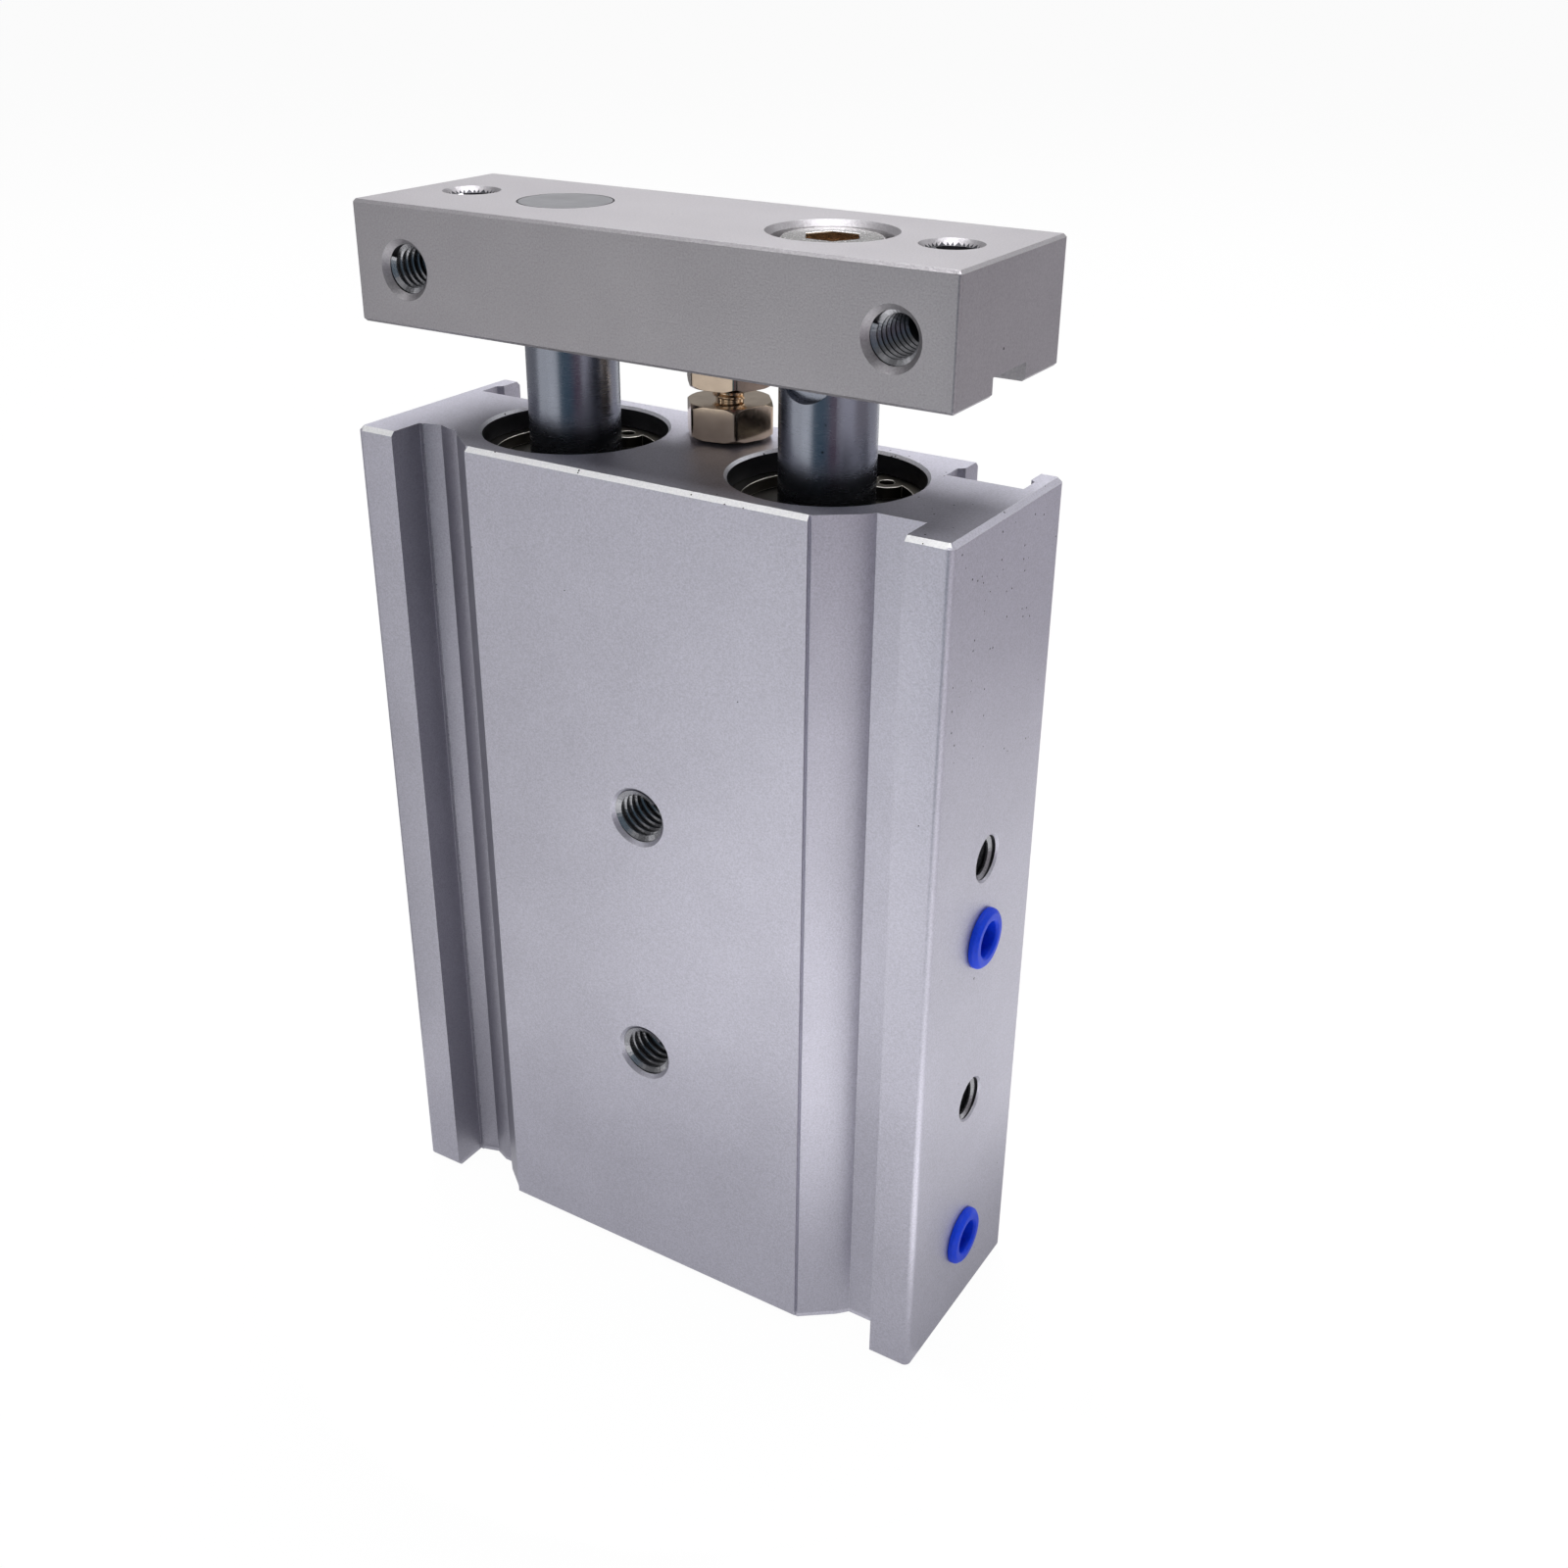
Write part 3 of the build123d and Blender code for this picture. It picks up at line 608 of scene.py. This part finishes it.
# The same warm nickel, darker, for the lock nut.
darker_nickel_with_painted_reflection = plated("darker_nickel_with_painted_reflection", (0.34, 0.27, 0.21), (0.58, 0.475, 0.37), 0.12)
zinc = plated("bright_zinc", (0.60, 0.59, 0.58), (0.80, 0.79, 0.78), 0.2)
black_steel = plated("blackened_steel", (0.02, 0.02, 0.022), (0.05, 0.05, 0.055), 0.35)
screw_axis, socket_reach, socket_foot = 12.7 * mm, 2.4 * mm, 92 * mm


def screw_face(face):
    """1 for the walls of the cap screw's hexagon socket, which take the warm nickel colour, 0 for the
    rest.
    """
    x, y, z = face.calc_center_median()
    in_the_socket = z > socket_foot and math.hypot(x - screw_axis, y) < socket_reach
    return int(in_the_socket and face.normal.z < 0.5)


broken_edges("rod_cap_screw", (zinc, nickel_with_painted_reflection), 0.1 * mm, screw_face)
broken_edges("rod_set_screw", (black_steel,), 0.05 * mm)
broken_edges("lock_nut", (darker_nickel_with_painted_reflection,), 0.08 * mm)
bolt = broken_edges("bumper_bolt", (nickel_with_painted_reflection,), 0.08 * mm)
bolt_axis = Vector((0, 5.2 * mm, 0))
shank_radius, core_radius = 1.5 * mm, 1.2 * mm
head_top, nut_foot = 83.2 * mm, 84.6 * mm
hair = 0.01 * mm
for vertex in bolt.data.vertices:
    off_axis = Vector((vertex.co.x, vertex.co.y, 0)) - bolt_axis
    if vertex.co.z > head_top - hair and off_axis.length < shank_radius + hair:
        inner = bolt_axis + off_axis * core_radius / shank_radius
        vertex.co.x, vertex.co.y = inner.x, inner.y
in_the_nut, thread_extra = 0.6 * mm, 0.3 * mm
bolt_values = {
    "Wall radius": core_radius - 0.02 * mm,
    "Pitch": 0.5 * mm,
    "Length": nut_foot - head_top + thread_extra,
    "Base width": 0.46 * mm,
    "Crest width": 0.1 * mm,
    "Height": shank_radius - core_radius,
    "Start": 0.0,
    "Turn": out_of_the_shank,
    "Material": nickel_with_painted_reflection,
}
bolt_point = [(bolt_axis + Vector((0, 0, nut_foot + in_the_nut)), Vector((0, 0, 1)))]
grow("bolt_thread", bolt_point, ridge_tree, bolt_values, "stop_bolt")


# Studio. A plain pale floor, soft lamps and a dim tent. Dark and bright cards lie or stand
# round the object for its metal to mirror, as in a product studio.
floor_reach = 6.0
floor_corners = [
    (-floor_reach, -floor_reach, 0),
    (floor_reach, -floor_reach, 0),
    (floor_reach, floor_reach, 0),
    (-floor_reach, floor_reach, 0),
]
floor_mesh = bpy.data.meshes.new("floor")
floor_mesh.from_pydata(floor_corners, [], [(0, 1, 2, 3)])
floor = bpy.data.objects.new("floor", floor_mesh)
floor.location.z = -0.05 * mm
bpy.context.collection.objects.link(floor)
white = (1.0, 1.0, 1.0, 1.0)
floor_finish, floor_place = new_finish("pale_floor")
paper = floor_place.node("ShaderNodeBsdfDiffuse", inputs={"Color": (0.86, 0.86, 0.87, 1.0)})
glow = floor_place.node("ShaderNodeEmission", inputs={"Color": white, "Strength": 1.0})
seen = floor_place.node("ShaderNodeLightPath", output="Is Camera Ray")
mirrored = floor_place.node("ShaderNodeLightPath", output="Is Glossy Ray")
glow_share = seen * 0.96 + mirrored * 0.55
blend = floor_place.node("ShaderNodeMixShader", inputs={0: glow_share, 1: paper, 2: glow})
floor_place.node("ShaderNodeOutputMaterial", inputs={"Surface": blend})
floor_mesh.materials.append(floor_finish)

world = bpy.data.worlds.new("studio")
bpy.context.scene.world = world
world.use_nodes = True
world.node_tree.nodes.clear()
sky = Wire(world.node_tree)
seen = sky.node("ShaderNodeLightPath", output="Is Camera Ray")
mirrored = sky.node("ShaderNodeLightPath", output="Is Glossy Ray")
tent_light = {"Color": (0.93, 0.94, 1.0, 1.0), "Strength": 0.09}
tent = sky.node("ShaderNodeBackground", inputs=tent_light)
backdrop = sky.node("ShaderNodeBackground", inputs={"Color": white, "Strength": 1.0})
backdrop_share = seen + mirrored * 0.05
blend = sky.node("ShaderNodeMixShader", inputs={0: backdrop_share, 1: tent, 2: backdrop})
sky.node("ShaderNodeOutputWorld", inputs={"Surface": blend})

object_middle = Vector((0, 0, 0.05))


def softbox(name, azimuth, elevation, distance, width, power):
    """A square soft light that shines on the object. Azimuth 0 is the front, 90 the right."""
    lamp = bpy.data.lights.new(name, "AREA")
    lamp.shape = "SQUARE"
    lamp.size = width
    lamp.energy = power
    a, e = math.radians(azimuth), math.radians(elevation)
    back = Vector((math.sin(a) * math.cos(e), -math.cos(a) * math.cos(e), math.sin(e)))
    light = bpy.data.objects.new(name, lamp)
    light.location = object_middle + back * distance
    light.rotation_mode = "QUATERNION"
    light.rotation_quaternion = back.to_track_quat("Z", "Y")
    bpy.context.collection.objects.link(light)


softbox("top", 180, 84, 0.7, 0.4, 4.4)
softbox("rear_high", -148, 56, 0.8, 0.4, 3.3)
softbox("rear_left", -147, 27, 0.8, 0.4, 0.08)
softbox("rear_right", 150, 30, 0.8, 0.4, 0.7)
softbox("key", 50, 22, 0.8, 0.4, 0.2)
softbox("fill", 0, 25, 0.8, 0.4, 0.2)
softbox("left", -60, 20, 0.8, 0.4, 0.5)
softbox("glint", -46, 50, 0.8, 0.2, 0.5)
softbox("side", 100, 26, 0.9, 0.5, 0.63)


def card(name, azimuths, near, far, colour, lights_dull_faces=False):
    """A card that the object mirrors and the camera never sees: a strip of a cone round it.

    Azimuths are as for a softbox. near and far are distance and height of its two edges.
    lights_dull_faces says whether it lights matt faces too."""
    first, last = azimuths
    edge_points = []
    steps = 12
    for step in range(steps + 1):
        a = math.radians(first + (last - first) * step / steps)
        for distance, height in (near, far):
            edge_points.append((math.sin(a) * distance, -math.cos(a) * distance, height))
    faces = [(2 * n, 2 * n + 1, 2 * n + 3, 2 * n + 2) for n in range(steps)]
    mesh = bpy.data.meshes.new(name)
    mesh.from_pydata(edge_points, [], faces)
    strip = bpy.data.objects.new(name, mesh)
    bpy.context.collection.objects.link(strip)
    strip.visible_camera = False
    strip.visible_diffuse = lights_dull_faces
    strip.visible_shadow = False
    finish, place = new_finish(name)
    face = place.node("ShaderNodeEmission", inputs={"Color": (*colour, 1.0), "Strength": 1.0})
    place.node("ShaderNodeOutputMaterial", inputs={"Surface": face})
    mesh.materials.append(finish)


def flat_card(name, azimuths, nearest, furthest, brightness, lights_dull_faces=False):
    """A plain card that lies on the floor."""
    height = 0.6 * mm
    colour = (brightness, brightness, brightness)
    card(name, azimuths, (nearest, height), (furthest, height), colour, lights_dull_faces)


card("flag_under_front", (-75, 75), (0.001, 0.0004), (0.044, 0.0004), (0.66, 0.66, 0.68), True)
card("flag_under_rear", (75, 285), (0.001, 0.0004), (0.044, 0.0004), (0.50, 0.50, 0.52), True)
card("flag_front", (-3, 34), (0.12, 0.0005), (0.4, 0.16), (0.09, 0.15, 0.20))
card("flag_right", (34, 57), (0.168, 0.0005), (0.4, 0.16), (0.16, 0.10, 0.14))
card("flag_far_right", (60, 92), (0.168, 0.0005), (0.4, 0.10), (0.72, 0.68, 0.74))
card("flag_side", (92, 131), (0.165, 0.0005), (0.4, 0.10), (0.40, 0.36, 0.39))
card("flag_rear_right", (132, 175), (0.15, 0.0005), (0.4, 0.10), (0.56, 0.54, 0.58))
card("flag_rear_left", (-172, -127), (0.06, 0.0005), (0.35, 0.05), (0.20, 0.20, 0.21), True)
card("flag_left", (-125, -60), (0.05, 0.0005), (0.35, 0.22), (0.30, 0.30, 0.32), True)
card("flag_left_high", (-125, -60), (0.5, 0.2), (0.5, 0.7), (0.25, 0.25, 0.26), True)
flat_card("bounce_right_near", (36, 80), 0.045, 0.068, 2.3, True)
flat_card("bounce_right", (36, 80), 0.069, 0.119, 1.3, True)
flat_card("bounce_right_far", (36, 80), 0.12, 0.165, 2.4, True)
flat_card("bounce_near_left", (-58, -28), 0.045, 0.11, 0.86)
flat_card("bounce_near_right", (-28, 14), 0.045, 0.11, 1.65)
flat_card("bounce_middle_left", (-53, -28), 0.112, 0.16, 0.35)
flat_card("bounce_middle_right", (-28, -4), 0.112, 0.16, 1.65)
flat_card("bounce_far_left", (-53, -30), 0.162, 0.32, 0.95)
flat_card("bounce_far_right", (-30, -4), 0.162, 0.32, 1.35)

# Camera. It stands at the right front and looks slightly down, as the photograph was taken.
camera_data = bpy.data.cameras.new("camera")
camera = bpy.data.objects.new("camera", camera_data)
bpy.context.collection.objects.link(camera)
bpy.context.scene.camera = camera
camera_data.sensor_width = 36.0
camera_data.lens = 39.85
camera_data.shift_x = 0.0078
camera_data.shift_y = -0.0077
camera_data.clip_start = 0.01
camera.location = (80.03 * mm, -117.65 * mm, 121.42 * mm)
turn = Matrix.Rotation(math.radians(31.59), 3, "Z")
tilt = Matrix.Rotation(math.radians(90 - 26.74), 3, "X")
roll = Matrix.Rotation(math.radians(0.454), 3, "Z")
camera.rotation_mode = "QUATERNION"
camera.rotation_quaternion = (turn @ tilt @ roll).to_quaternion()

bpy.context.scene.view_settings.view_transform = "Standard"
